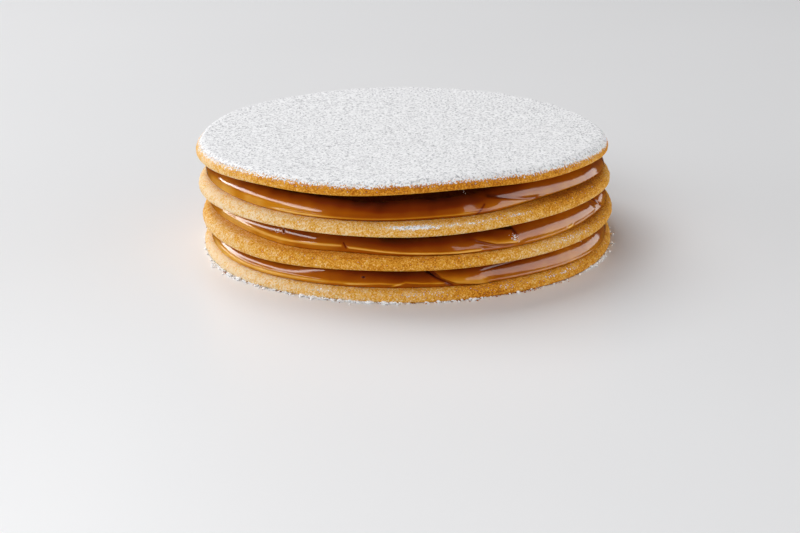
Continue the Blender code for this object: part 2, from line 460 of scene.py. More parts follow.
def biscuit_material():
    """Dry crumb, browner where the oven caught it, with sugar caught in its grain."""
    shading = Shading("baked_shortbread")
    patches = shading.spread(shading.noise(4 * MM, 3.0), 0.35, 0.65, -0.1, 0.1)
    grain = shading.spread(shading.noise(0.9 * MM, 4.0, 0.75), 0.36, 0.64, -0.34, 0.34)
    bake = shading.math("ADD", shading.math("ADD", shading.attribute("bake"), patches), grain, True)
    crumb = shading.ramp(bake, BISCUIT_STOPS)
    sugar_grain = shading.spread(shading.noise(0.9 * MM, 2.0), 0.28, 0.72, -1.0, 0.0)
    dust = shading.math("ADD", shading.attribute("dust"), sugar_grain)
    sugared = shading.spread(dust, -0.02, 0.05)
    powder = powder_colour(shading)[0]
    shading.join(shading.mix(sugared, crumb, powder), shading.shader.inputs["Base Color"])
    shading.settle({
        "Roughness": 0.85,
        "Specular IOR Level": 0.12,
        "Subsurface Weight": 0.1,
        "Subsurface Radius": (1.0, 0.45, 0.15),
        "Subsurface Scale": 0.8 * MM,
    })
    coarse = shading.bump(shading.noise(1.8 * MM, 3.0), 0.6 * MM, 0.7)
    fine = shading.bump(shading.noise(0.6 * MM, 3.0), 0.3 * MM, 0.7, coarse)
    shading.join(fine, shading.shader.inputs["Normal"])
    return shading.material


def dulce_material():
    """Thick milk caramel: wet, glossy and lighter where it is thin, with painted light and painted shade
    in its stored tone.
    """
    shading = Shading("dulce_de_leche")
    cloud = shading.spread(shading.noise(18 * MM, 2.0), 0.3, 0.7, -0.08, 0.08)
    tone = shading.math("ADD", shading.attribute("tone"), cloud, True)
    shading.join(shading.ramp(tone, DULCE_STOPS), shading.shader.inputs["Base Color"])
    shading.settle({
        "Roughness": 0.09,
        "IOR": 1.55,
        "Subsurface Weight": 0.1,
        "Subsurface Radius": (1.0, 0.35, 0.08),
        "Subsurface Scale": 1.5 * MM,
    })
    ripple = shading.bump(shading.noise(5 * MM, 2.0), 0.3 * MM, 0.05)
    shading.join(ripple, shading.shader.inputs["Normal"])
    return shading.material


def sugar_material():
    """Icing sugar: matte white powder with tiny shaded pits, and bare crumb where it lies thin."""
    shading = Shading("icing_sugar_powder")
    powder, grain = powder_colour(shading)
    covered = shading.math("MULTIPLY", shading.attribute("cover"), 0.8)
    bare = shading.spread(shading.math("SUBTRACT", shading.noise(0.9 * MM, 3.0), covered), -0.03, 0.05)
    shading.join(shading.mix(bare, powder, BARE_CRUMB), shading.shader.inputs["Base Color"])
    shading.settle({"Roughness": 0.95, "Specular IOR Level": 0.2})
    shading.join(shading.bump(grain, 0.5 * MM, 0.5), shading.shader.inputs["Normal"])
    return shading.material


def clump_material():
    """Sugar in small lumps, nearly pure white."""
    shading = Shading("clumped_sugar")
    shade = shading.spread(shading.noise(0.8 * MM, 2.0), 0.3, 0.5)
    lump = shading.mix(shade, (0.97, 0.97, 0.975), (1.0, 1.0, 1.0))
    shading.join(lump, shading.shader.inputs["Base Color"])
    shading.settle({
        "Roughness": 0.8,
        "Specular IOR Level": 0.3,
        "Subsurface Weight": 0.2,
        "Subsurface Radius": (1.0, 1.0, 1.0),
        "Subsurface Scale": 0.2 * MM,
    })
    return shading.material


# ---------------------------------------------------------------- biscuits


# Inner rings of a biscuit's faces, as shares of its radius.
INNER_RINGS = (0.5, 0.8)

# The relief keeps its full height down to this share of the edge, and fades out below it.
ROUGH_DOWN_TO = 0.25
CRUMB_ROUGHNESS = (
    Roughness(0.14 * MM, 5.0 * MM, 0, 2),
    Roughness(0.15 * MM, 1.9 * MM, 10, 2),
    Roughness(0.09 * MM, 0.8 * MM, 20),
)


class Baking(NamedTuple):
    """How brown a biscuit is round its rim and up its edge, with some painted light in it, and where sugar
    has caught on it.

    The sugar is thickest at a share of the edge's height, and it fades over the spread.
    """

    base: float
    swells: tuple
    rise: float
    rise_swells: tuple
    dust: float
    dust_swells: tuple
    dust_share: float
    dust_spread: float


# The swells that make every biscuit paler round -65 degrees, on the side where the key lamp falls, are
# partly painted light.
BAKING = {
    "biscuit_base": Baking(
        base=0.44,
        swells=(Swell(-62, 40, -0.44), Swell(20, 9, 0.20), Swell(62, 26, 0.12), Swell(170, 60, 0.10)),
        rise=0.06,
        rise_swells=(),
        dust=0.08,
        dust_swells=(Swell(-24, 6, 0.28), Swell(3, 7, 0.30), Swell(27, 3, 0.26), Swell(44, 8, 0.30)),
        dust_share=0.75,
        dust_spread=0.2,
    ),
    "biscuit_lower": Baking(
        base=0.54,
        swells=(Swell(-66, 28, -0.30), Swell(38, 18, -0.20), Swell(160, 60, 0.06)),
        rise=0.10,
        rise_swells=(Swell(62, 14, 0.22),),
        dust=0.06,
        dust_swells=(Swell(48, 10, 0.30), Swell(60, 5, 0.20)),
        dust_share=0.7,
        dust_spread=0.25,
    ),
    "biscuit_upper": Baking(
        base=0.38,
        swells=(Swell(-72, 48, -0.34), Swell(58, 22, 0.18), Swell(-165, 60, 0.08)),
        rise=0.06,
        rise_swells=(Swell(56, 24, 0.42),),
        dust=0.09,
        dust_swells=(Swell(2, 7, 0.85), Swell(18, 9, 0.36), Swell(31, 4, 0.32)),
        dust_share=0.78,
        dust_spread=0.15,
    ),
    "biscuit_top": Baking(
        base=0.75,
        swells=(Swell(-72, 34, -0.52), Swell(64, 24, -0.16)),
        rise=0.34,
        rise_swells=(),
        dust=0.98,
        dust_swells=(Swell(-62, 46, -0.3), Swell(84, 28, 0.5)),
        dust_share=1.0,
        dust_spread=0.38,
    ),
}
UNDERSIDE_BAKE = 0.3


def edge_sections():
    """The rounded edge as pairs of setback and share of the height, from its top to its underside."""
    shoulder_turns = np.radians(np.linspace(90.0, 0.0, EDGE_ROWS))
    foot_turns = np.radians(np.linspace(0.0, -90.0, FOOT_ROWS))[1:]
    setbacks = np.concatenate([
        SHOULDER_WIDTH * (1.0 - np.cos(shoulder_turns)),
        FOOT_WIDTH * (1.0 - np.cos(foot_turns)),
    ])
    shares = np.concatenate([
        FOOT_SHARE + (1.0 - FOOT_SHARE) * np.sin(shoulder_turns),
        FOOT_SHARE + FOOT_SHARE * np.sin(foot_turns),
    ])
    return setbacks, shares


def biscuit_rings(rim, setbacks, shares):
    """Rings of points over a biscuit, from inside its top, round its edge, to inside its underside."""
    rings = []
    for share in INNER_RINGS:
        places = rim.places(share * rim.radius)
        rings.append(np.column_stack([places, rim.solid.topside(places)]))
    for setback, share in zip(setbacks, shares):
        heights = rim.low + share * (rim.high - rim.low)
        rings.append(np.column_stack([rim.places(rim.radius - setback), heights]))
    for share in reversed(INNER_RINGS):
        places = rim.places(share * rim.radius)
        rings.append(np.column_stack([places, rim.solid.underside(places)]))
    return np.array(rings)


def make_biscuit(node, material, seed):
    """One shortbread disc with a grainy edge, browned and dusted as its baking says."""
    rim = Rim(node)
    setbacks, shares = edge_sections()
    rings = biscuit_rings(rim, setbacks, shares)
    top = [*rim.centre, rim.solid.topside([rim.centre])[0]]
    bottom = [*rim.centre, rim.solid.underside([rim.centre])[0]]
    piece = wrapped_piece("baked_" + node, rings, top, bottom)

    inside = np.zeros(len(INNER_RINGS))
    rough = np.concatenate([inside, np.clip(shares / ROUGH_DOWN_TO, 0.0, 1.0), inside])
    relief = roughness_at(points_of(piece), CRUMB_ROUGHNESS, seed)
    push_out(piece, relief * vertex_values(rough, 0.0, 0.0))

    baking = BAKING[node]
    climb = vertex_values(np.concatenate([inside + 1.0, shares, inside]), 1.0, 0.0)
    azimuths = np.concatenate([np.tile(COLUMN_AZIMUTHS, len(rings)), [0.0, 0.0]])
    rise = baking.rise + swell_at(baking.rise_swells, azimuths)
    bake = baking.base + swell_at(baking.swells, azimuths) + rise * (climb - 0.5)
    store(piece, "bake", bake + UNDERSIDE_BAKE * (climb == 0.0))
    dust = baking.dust + swell_at(baking.dust_swells, azimuths)
    store(piece, "dust", dust * bell(climb - baking.dust_share, baking.dust_spread))
    finish_piece(piece, [node], material)
    return rim


# ---------------------------------------------------------------- fillings

# A filling's side: its rows, and the levels at which the solid is read and then smoothed.
FILLING_ROWS = 38
FILLING_READ_LEVELS = np.linspace(0.08, 0.92, 15)
SMOOTHING_REACH = 4
SMOOTHING_WIDTH = 2.4

# The sides lean back where this sum is one or more, which is all round the front, and keep the
# solid's shape at the back. They are upright below the lip's level. Above it, the tilt in degrees is
# divided by a power of how squarely the side faces the front, and it stays under the steepest.
LEANING = (Swell(10, 75, 2.5),)
LIP_LEVEL = 0.1
SLOPE_TILT = 17.5
SLOPE_STEEPEST = 54.0
LEAST_FACING = 0.42
FACING_POWER = 0.8
SLOPES = {
    "dulce_lower": Slope(
        level=0.47,
        gain=36.0,
        tuck=0.4 * MM,
        turns=(Swell(-22, 9, -14.0), Swell(17, 5, -11.0)),
    ),
    "dulce_middle": Slope(
        level=0.42,
        gain=50.0,
        tuck=0.3 * MM,
        turns=(Swell(-32, 16, -7.0), Swell(16, 3, 6.0), Swell(66, 18, 6.0), Swell(72.5, 2.5, 13.0)),
    ),
    "dulce_upper": Slope(
        level=0.38,
        gain=46.0,
        tuck=0.3 * MM,
        turns=(Swell(24, 5, 8.0), Swell(18, 3, -3.0), Swell(62, 22, 4.0)),
    ),
}

# How light the caramel is: paler on its ridges, and darker towards the shade of the biscuit above, with
# painted light and painted shade in it.
TONE = 0.40
# Painted light: the caramel is lighter round the sides where the lamps fall on it.
PAINTED_LIGHT_SWELLS = (
    Swell(-56, 42, 0.42),
    Swell(-66, 10, 0.16),
    Swell(46, 26, 0.32),
    Swell(82, 18, 0.24),
    Swell(180, 60, 0.14),
)
# Painted light and shade by relief: paler on ridges, partly for the thin caramel there, and darker in
# hollows.
LIGHT_AND_SHADE_PER_METRE = 80.0
# Painted shade: how much darker each filling grows towards the biscuit above, changed round the rim, and
# the levels over which it darkens.
PAINTED_SHADE_FADES = {"dulce_lower": 0.34, "dulce_middle": 0.48, "dulce_upper": 0.66}
PAINTED_SHADE_FADE_SWELLS = (Swell(-25, 10, -0.14), Swell(58, 26, -0.24))
PAINTED_SHADE_START = 0.28
PAINTED_SHADE_LENGTH = 0.5

# The rounded ridge of the lip, and the rounding where a side meets the biscuits.
LIP_HEIGHT = 0.2 * MM
LIP_WIDTH = 0.5 * MM
CORNER_DEPTH = 1.1 * MM
CORNER_SHARPNESS = 12

# Faint streaks round the side: how many fit in a radian of the turn, how tall they are, how far they
# stand out, and how much finer the second set is.
STREAKS_PER_RADIAN = 2.6
STREAK_RISE = 6.0 * MM
STREAK_HEIGHT = 0.14 * MM
FINE_STREAK_HEIGHT = 0.05 * MM
FINE_STREAK_SCALE = 2.3

# The inner ring of a filling's faces, as a share of its radius, and how far over a biscuit's rounded
# shoulder a lip may hang, as a share of the shoulder's width.
FILLING_INNER_RING = 0.5
MOST_OVERHANG = 0.95

STROKES = {
    "dulce_lower": (
        # The lip's ridge, up to a wave at the front, with a painted highlight along it.
        Stroke(((-68, 0.34), (-40, 0.24), (-18, 0.24)), 0.4, 0.7, 0.7, 8, 0.2),
        Stroke(((-16, 0.20), (-8, 0.26), (-3, 0.22)), 0.4, 0.5, 0.5, 3, 0.3),
        Stroke(((-4, 0.16), (-1, 0.32), (3, 0.26), (9, 0.24)), 0.5, 0.5, 0.4, 2, 0.3),
        # A flap whose edge falls to the right, lighter as painted light, with a crease along it in painted
        # shade.
        Stroke(((7, 0.82), (9, 0.52), (13, 0.22), (19, 0.10)), 1.4, 0.35, 5.0, 5, 0.2),
        Stroke(((5, 0.80), (7.5, 0.50), (11.5, 0.16)), -0.24, 0.8, 0.35, 1.6, -0.34),
        # A shallow groove and a bubble's hole, both darkened as painted shade.
        Stroke(((24, 0.70), (33, 0.80), (42, 0.78)), -0.2, 0.5, 0.5, 6, -0.1),
        Stroke(((-12.8, 0.54), (-12.4, 0.54)), -1.4, 0.3, 0.3, 0.3, -0.7),
    ),
    "dulce_middle": (
        # The lip's ridge with a painted highlight along it, broken by a notch in painted shade.
        Stroke(((-70, 0.34), (-40, 0.27), (-19.5, 0.30)), 0.14, 0.6, 0.5, 0.8, 0.4),
        Stroke(((-18.6, 0.40), (-17.8, 0.22)), -0.2, 0.35, 0.35, 0.5, -0.4),
        Stroke(((-16.6, 0.25), (0, 0.17), (14, 0.12), (20, 0.14)), 0.6, 0.5, 0.5, 1.2, 0.5),
        # A flap with a painted highlight and a crease under it in painted shade, and a hollow above it
        # painted dark as shade, with painted shade at its end.
        Stroke(((21, 0.50), (25, 0.32), (30, 0.24)), 1.2, 0.4, 1.8, 4, 0.2),
        Stroke(((20.5, 0.42), (24, 0.26), (29, 0.16)), -0.4, 0.4, 0.4, 2, -0.1),
        Stroke(((22.5, 0.98), (26, 0.84), (29.5, 0.74)), -0.15, 0.6, 1.6, 1.2, -0.5),
        Stroke(((30.0, 0.86), (31.5, 0.52)), 0.0, 0.8, 0.8, 0.8, -0.3),
        # A pit on the left, a bump on the lip, and a groove and a bulge at the right end; the pit and the
        # groove are darkened as painted shade, and the bump is lighter as a painted highlight.
        Stroke(((-38.6, 0.62), (-38.3, 0.54)), -0.4, 0.4, 0.4, 0.5, -0.4),
        Stroke(((52, 0.16), (54, 0.18)), 0.6, 0.6, 0.6, 1, 0.3),
        Stroke(((73, 0.75), (74, 0.45), (76, 0.15)), -0.8, 0.8, 0.8, 2, -0.2),
        Stroke(((80, 0.55), (84, 0.40)), 0.9, 2.0, 2.0, 3),
    ),
    "dulce_upper": (
        # The lip's ridge, and a broad low one that goes on from it, both lighter as a painted highlight.
        Stroke(((-30, 0.11), (-10, 0.11), (14, 0.11)), 0.3, 0.4, 0.4, 12, 0.3),
        Stroke(((17, 0.14), (24, 0.16), (30, 0.14), (35, 0.12)), 0.1, 0.5, 1.6, 3, 0.1),
        # A groove that falls to the right, and a dark line of painted shade for a crease that falls to the
        # left; the groove is darkened as painted shade too.
        Stroke(((25, 0.50), (30, 0.38), (36, 0.22), (42, 0.10)), -0.3, 0.45, 1.2, 2, -0.2),
        Stroke(((23.0, 0.30), (20.6, 0.06)), 0.0, 0.4, 0.4, 0.6, -0.42),
        # A band painted darker at the front, and painted shade under the top biscuit on the left.
        Stroke(((-6, 0.34), (6, 0.30), (17, 0.40)), 0.0, 1.6, 2.0, 8, -0.13),
        Stroke(((-62, 0.88), (-40, 0.86), (-12, 0.86)), 0.0, 1.3, 2.5, 6, -0.3),
    ),
}


def stroke_share(stroke, azimuths, levels, heights, radius):
    """How much of a stroke's full height there is at each azimuth and level, from 0 to 1."""
    metres_per_degree = math.radians(radius)
    nearest = np.full(azimuths.shape, np.inf)
    side = np.zeros(azimuths.shape)
    overrun = np.zeros(azimuths.shape)
    last = len(stroke.path) - 2
    # The nearest stretch of the path counts: how far off it is, on which side, and how far past an end.
    for index, (start, end) in enumerate(zip(stroke.path, stroke.path[1:])):
        right = turn_between(azimuths, start[0]) * metres_per_degree
        up = (levels - start[1]) * heights
        run = (end[0] - start[0]) * metres_per_degree
        climb = (end[1] - start[1]) * heights
        length = np.hypot(run, climb)
        along = (right * run + up * climb) / length
        held = np.clip(along, 0.0, length)
        distance = np.hypot(right - held / length * run, up - held / length * climb)
        closer = distance < nearest
        before = np.where((index == 0) & (along < 0.0), -along, 0.0)
        past = np.where((index == last) & (along > length), along - length, 0.0)
        nearest = np.where(closer, distance, nearest)
        side = np.where(closer, (run * up - climb * right) / length, side)
        overrun = np.where(closer, before + past, overrun)
    across = np.sqrt(np.maximum(nearest ** 2 - overrun ** 2, 0.0))
    width = np.where(side < 0.0, stroke.below, stroke.above) * MM
    return bell(across, width) * bell(overrun, stroke.taper * MM)


def read_side(solid, centre, below, above):
    """The reach of a filling's solid at every row and column, and the heights it spans."""
    lip = below.places(below.radius - FILLING_READ_IN)[:: COLUMNS // READINGS]
    low = below.solid.topside(lip)
    high = above.solid.underside(lip)
    rings = []
    for level in FILLING_READ_LEVELS:
        reach = solid.reach(centre, READ_AZIMUTHS, low + (high - low) * level)
        rings.append(smooth_ring(reach, COLUMNS))
    levels = np.linspace(0.0, 1.0, FILLING_ROWS)
    side = np.array([np.interp(levels, FILLING_READ_LEVELS, column) for column in np.array(rings).T]).T
    padded = np.pad(side, ((SMOOTHING_REACH, SMOOTHING_REACH), (0, 0)), mode="edge")
    kernel = bell(np.arange(-SMOOTHING_REACH, SMOOTHING_REACH + 1), SMOOTHING_WIDTH)
    kernel /= kernel.sum()
    side = sum(weight * padded[shift : shift + FILLING_ROWS] for shift, weight in enumerate(kernel))
    return side, smooth_ring(low, COLUMNS), smooth_ring(high, COLUMNS), levels


def leaned_side(side, levels, heights, slope):
    """The side, leaned back smoothly from its lip round the front of the cake."""
    facing = np.maximum(np.abs(np.cos(np.radians(COLUMN_AZIMUTHS))), LEAST_FACING)
    tilts = (SLOPE_TILT + slope.gain * (levels - slope.level)[:, None]) / facing ** FACING_POWER
    tilts = tilts + swell_at(slope.turns, COLUMN_AZIMUTHS)
    tilts = np.where(levels[:, None] > LIP_LEVEL, np.minimum(tilts, SLOPE_STEEPEST), 0.0)
    back = np.cumsum(np.tan(np.radians(tilts)), axis=0) / len(levels)
    leaned = side[0] - slope.tuck - back * heights
    share = np.clip(swell_at(LEANING, COLUMN_AZIMUTHS), 0.0, 1.0)
    return side + share * (leaned - side)


def shoulder_drop(rim, centre, reach):
    """How far the rounded edge of the biscuit below falls away under a filling's lip."""
    places = centre + outward(COLUMN_AZIMUTHS) * reach[:, None]
    setback = rim.radius - np.hypot(*(places - rim.centre).T)
    over = np.clip(1.0 - setback / SHOULDER_WIDTH, 0.0, MOST_OVERHANG)
    return (1.0 - FOOT_SHARE) * (rim.high - rim.low) * (1.0 - np.sqrt(1.0 - over ** 2))


def strokes_on(node, azimuths, levels, heights, radius):
    """The relief and the tint that a filling's strokes leave on its side; the tint is painted light and
    shade.
    """
    relief = np.zeros(azimuths.shape)
    tint = np.zeros(azimuths.shape)
    for stroke in STROKES[node]:
        share = stroke_share(stroke, azimuths, levels, heights, radius)
        relief += stroke.height * MM * share
        tint += stroke.tint * share
    return relief, tint


def streaks_on(azimuths, levels, heights, seed):
    """The relief of faint streaks that run round a filling's side."""
    turns = np.radians(azimuths)
    flow = np.column_stack([
        np.sin(turns).ravel() * STREAKS_PER_RADIAN,
        np.cos(turns).ravel() * STREAKS_PER_RADIAN,
        (levels * heights / STREAK_RISE).ravel(),
    ])
    streaks = STREAK_HEIGHT * lattice_noise(flow, 1.0, seed)
    streaks += FINE_STREAK_HEIGHT * lattice_noise(flow * FINE_STREAK_SCALE, 1.0, seed + 1)
    return streaks.reshape(azimuths.shape)


def tone_on(node, azimuths, levels, relief):
    """How light a filling's side is before its strokes tint it, with painted light on the lit sides and
    ridges, and painted shade in hollows and towards the biscuit above.
    """
    tone = TONE + swell_at(PAINTED_LIGHT_SWELLS, azimuths) + LIGHT_AND_SHADE_PER_METRE * relief
    fade = PAINTED_SHADE_FADES[node] + swell_at(PAINTED_SHADE_FADE_SWELLS, azimuths)
    return tone - fade * np.clip((levels - PAINTED_SHADE_START) / PAINTED_SHADE_LENGTH, 0.0, 1.0)


def make_filling(node, below, above, material, seed):
    """One layer of dulce de leche, with the folds that its spreading left.

    It returns the points of the side, lip first, for the sugar that is caught there.
    """
    centre = (below.centre + above.centre) / 2.0
    side, low, high, levels = read_side(Solid(node), centre, below, above)
    side = leaned_side(side, levels, high - low, SLOPES[node])
    azimuths = np.broadcast_to(COLUMN_AZIMUTHS, side.shape)
    level_grid = np.broadcast_to(levels[:, None], side.shape)
    heights = np.broadcast_to(high - low, side.shape)
    relief, tint = strokes_on(node, azimuths, level_grid, heights, float(side.mean()))
    relief += streaks_on(azimuths, level_grid, heights, seed)
    relief += LIP_HEIGHT * bell((level_grid - LIP_LEVEL) * heights, LIP_WIDTH)
    reach = side + relief - CORNER_DEPTH * np.abs(2.0 * level_grid - 1.0) ** CORNER_SHARPNESS

    ways = outward(COLUMN_AZIMUTHS)
    inner = centre + ways * FILLING_INNER_RING * reach.mean()
    drop = shoulder_drop(below, centre, reach[0])
    rings = [np.column_stack([inner, above.solid.underside(inner) + EMBED])]
    for level, ring in zip(levels[::-1], reach[::-1]):
        height = low - EMBED + (high - low + 2.0 * EMBED) * level - drop * (1.0 - level) ** 3
        rings.append(np.column_stack([centre + ways * ring[:, None], height]))
    rings.append(np.column_stack([inner, below.solid.topside(inner) - EMBED]))
    rings = np.array(rings)
    top = [*centre, above.solid.underside([centre])[0] + EMBED]
    bottom = [*centre, below.solid.topside([centre])[0] - EMBED]
    piece = wrapped_piece("spread_" + node, rings, top, bottom)

    # The tone carries painted light and painted shade, with the strokes' tints, for the material to read.
    tone = (tone_on(node, azimuths, level_grid, relief) + tint)[::-1]
    hidden = np.zeros(COLUMNS)
    store(piece, "tone", np.concatenate([hidden, tone.ravel(), hidden, [0.0, 0.0]]))
    finish_piece(piece, [node], material)
    return rings[-2:0:-1]


# ---------------------------------------------------------------- icing sugar

# The skin follows the biscuit's shoulder down through these angles, and covers it less and less.
SUGAR_DEPTH = 0.9 * MM
SUGAR_SKIRT_ANGLES = (80, 74, 68, 63, 58, 54)
SUGAR_THINNED = 0.28
# Painted shade: the sugar is thinned more on the left rim, where the key lamp falls, so more bare crumb
# darkens it there.
SUGAR_SHADED_THINNING_SWELLS = (Swell(-60, 50, 0.12),)
SUGAR_ROUGHNESS = (
    Roughness(0.22 * MM, 1.5 * MM, 71),
    Roughness(0.16 * MM, 0.9 * MM, 72),
    Roughness(0.20 * MM, 6.0 * MM, 73, 2),
)

# A web's ring has this many more points than the ring inside it, so its triangles are near even.
WEB_SIDES = 6


def web_disc(rings):
    """A flat disc of near even triangles, as points, faces and where the outermost ring starts."""
    places = [(0.0, 0.0)]
    starts = [0]
    for ring in range(1, rings + 1):
        starts.append(len(places))
        turns = np.arange(WEB_SIDES * ring) * math.tau / (WEB_SIDES * ring)
        places += np.column_stack([np.sin(turns), -np.cos(turns)]).tolist()
    faces = []
    for ring in range(1, rings + 1):
        outer_count = WEB_SIDES * ring
        inner_count = max(1, WEB_SIDES * (ring - 1))
        for side in range(WEB_SIDES):
            for step in range(ring):
                outer = starts[ring] + side * ring + step
                outer_next = starts[ring] + (side * ring + step + 1) % outer_count
                inner = starts[ring - 1] + (side * (ring - 1) + step) % inner_count
                faces.append([outer, outer_next, inner])
                if step < ring - 1:
                    inner_next = starts[ring - 1] + (side * (ring - 1) + step + 1) % inner_count
                    faces.append([outer_next, inner_next, inner])
    ring_shares = [np.full(WEB_SIDES * ring, ring / rings) for ring in range(1, rings + 1)]
    shares = np.concatenate([[0.0], *ring_shares])
    return np.array(places) * shares[:, None], faces, starts[rings]


def sugar_skirt(rim, azimuths, columns):
    """Rings of points down the top biscuit's shoulder, each with how well the sugar covers it."""
    ways = outward(azimuths)
    low = rim.low[columns]
    span = (rim.high - rim.low)[columns]
    shoulder = span * (1.0 - FOOT_SHARE)
    thinned = SUGAR_THINNED + swell_at(SUGAR_SHADED_THINNING_SWELLS, azimuths)
    rings = []
    for number, angle in enumerate(SUGAR_SKIRT_ANGLES, 1):
        share = number / len(SUGAR_SKIRT_ANGLES)
        depth = SUGAR_DEPTH * (1.0 - share) - EMBED * share
        turn = math.radians(angle)
        radius = rim.radius[columns] - SHOULDER_WIDTH + (SHOULDER_WIDTH + depth) * math.cos(turn)
        height = low + FOOT_SHARE * span + (shoulder + depth) * math.sin(turn)
        points = np.column_stack([rim.centre + ways * radius[:, None], height])
        rings.append((points, 1.0 - share * thinned))
    return rings


def make_sugar(rim, material):
    """The dusting on the top biscuit: a powdery skin with a ragged edge."""
    flat, faces, edge_start = web_disc(DISC_RINGS)
    azimuths = np.degrees(np.arctan2(flat[:, 0], -flat[:, 1]))
    columns = column_at(azimuths)
    places = rim.centre + flat * (rim.radius[columns] - SHOULDER_WIDTH)[:, None]
    points = [np.column_stack([places, rim.solid.topside(places) + SUGAR_DEPTH])]
    cover = [np.ones(len(flat))]
    here = np.arange(len(flat) - edge_start)
    after = np.roll(here, -1)
    start = edge_start
    total = len(flat)
    for ring_points, ring_cover in sugar_skirt(rim, azimuths[edge_start:], columns[edge_start:]):
        points.append(ring_points)
        cover.append(ring_cover)
        faces += np.stack([start + here, total + here, total + after, start + after], axis=1).tolist()
        start = total
        total += len(here)
    points.append([[*rim.centre, rim.solid.topside([rim.centre])[0] - EMBED]])
    cover.append([1.0])
    faces += [[total, start + right, start + left] for left, right in zip(here.tolist(), after.tolist())]
    piece = mesh_object("powdered_icing_sugar", np.concatenate(points), faces)
    push_out(piece, roughness_at(points_of(piece), SUGAR_ROUGHNESS))
    store(piece, "cover", np.concatenate(cover))
    finish_piece(piece, ["icing_sugar"], material)


# ---------------------------------------------------------------- loose grains

# A lump starts as an icosahedron of radius one, whose corners follow from the golden ratio.
GOLDEN = (1.0 + math.sqrt(5.0)) / 2.0
LUMP_CORNERS = np.array([
    (-1, GOLDEN, 0), (1, GOLDEN, 0), (-1, -GOLDEN, 0), (1, -GOLDEN, 0),
    (0, -1, GOLDEN), (0, 1, GOLDEN), (0, -1, -GOLDEN), (0, 1, -GOLDEN),
    (GOLDEN, 0, -1), (GOLDEN, 0, 1), (-GOLDEN, 0, -1), (-GOLDEN, 0, 1),
]) / math.hypot(1.0, GOLDEN)
LUMP_FACES = np.array([
    (0, 11, 5), (0, 5, 1), (0, 1, 7), (0, 7, 10), (0, 10, 11), (1, 5, 9), (5, 11, 4), (11, 10, 2),
    (10, 7, 6), (7, 1, 8), (3, 9, 4), (3, 4, 2), (3, 2, 6), (3, 6, 8), (3, 8, 9), (4, 9, 5),
    (2, 4, 11), (6, 2, 10), (8, 6, 7), (9, 8, 1),
])

# How far a lump's corners lie from its middle, as shares of its size, and how flat it lies.
LUMP_UNEVENNESS = (0.6, 1.2)
LUMP_FLATNESS = 0.7


class Drift(NamedTuple):
    """A run of grains beside the cake: where it peaks, how wide it is and how many lie there."""

    azimuth: float
    width: float
    count: int


FALLEN_SUGAR_SIZE = 0.55 * MM
FALLEN_CRUMB_SIZE = 0.30 * MM
FALLEN_SIZE_SPREAD = 0.35
FALLEN_CRUMB_BAKE = 0.85

# Fallen grains start this far in from the rim, under the rounded foot, and thin out over the run.
FALLEN_TUCK = 0.6 * FOOT_WIDTH
FALLEN_RUN = 0.6 * MM

SUGAR_DRIFTS = (
    Drift(-58, 6, 70), Drift(-45, 3, 30), Drift(-33, 4, 40), Drift(-25, 3, 50), Drift(-14, 6, 130),
    Drift(-4, 3, 20), Drift(10, 2, 24), Drift(18, 2, 12), Drift(64, 6, 60), Drift(130, 40, 60),
    Drift(-150, 40, 60), Drift(0, 60, 60),
)
CRUMB_DRIFTS = (
    Drift(-40, 8, 50), Drift(-18, 6, 40), Drift(4, 7, 50), Drift(30, 12, 70), Drift(180, 70, 80),
)


def lumps(places, sizes, chance):
    """Uneven little lumps that stand on the places, as points and faces."""
    count = len(places)
    corners = len(LUMP_CORNERS)
    shapes = LUMP_CORNERS * chance.uniform(*LUMP_UNEVENNESS, (count, corners, 1)) * sizes[:, None, None]
    shapes[:, :, 2] *= LUMP_FLATNESS
    shapes[:, :, 2] -= shapes[:, :, 2].min(axis=1)[:, None]
    shapes += places[:, None, :]
    faces = LUMP_FACES[None] + corners * np.arange(count)[:, None, None]
    return shapes.reshape(-1, 3), faces.reshape(-1, 3).tolist()


def fallen_grains(name, rim, drifts, size, seed):
    """Grains that fell beside the lowest biscuit and lie against its foot."""
    chance = np.random.default_rng(seed)
    azimuths = np.concatenate([chance.normal(drift.azimuth, drift.width, drift.count) for drift in drifts])
    sizes = size * chance.lognormal(0.0, FALLEN_SIZE_SPREAD, len(azimuths))
    edge = rim.radius[column_at(azimuths)] - FALLEN_TUCK
    radii = edge + sizes + chance.exponential(FALLEN_RUN, len(azimuths))
    places = np.column_stack([rim.centre + outward(azimuths) * radii[:, None], np.zeros(len(azimuths))])
    return mesh_object(name, *lumps(places, sizes, chance))


def make_fallen(rim, sugar, crumb):
    """The sugar and the crumbs round the foot of the cake."""
    fallen = fallen_grains("fallen_sugar", rim, SUGAR_DRIFTS, FALLEN_SUGAR_SIZE, FALLEN_SUGAR_SEED)
    finish_piece(fallen, [], sugar)
    crumbs = fallen_grains("fallen_crumbs", rim, CRUMB_DRIFTS, FALLEN_CRUMB_SIZE, FALLEN_CRUMB_SEED)
    # The crumbs are as brown all over as a well baked rim, and no sugar is caught on them.
    count = len(crumbs.data.vertices)
    store(crumbs, "bake", np.full(count, FALLEN_CRUMB_BAKE))
    store(crumbs, "dust", np.zeros(count))
    finish_piece(crumbs, [], crumb)


class Catch(NamedTuple):
    """Sugar caught on a filling's side: where, how far it spreads, and how many lumps of it."""

    node: str
    azimuth: float
    width: float
    level: float
    rise: float
    count: int


CATCHES = (
    Catch("dulce_middle", 30.8, 0.7, 0.38, 0.07, 46),
    Catch("dulce_middle", -41.0, 0.8, 0.52, 0.03, 14),
    Catch("dulce_upper", 17.5, 0.2, 0.74, 0.02, 4),
    Catch("dulce_upper", -28.0, 2.2, 0.96, 0.01, 16),
    Catch("dulce_lower", 57.5, 0.5, 0.80, 0.02, 8),
    Catch("dulce_lower", -67.0, 2.0, 0.70, 0.10, 14),
)

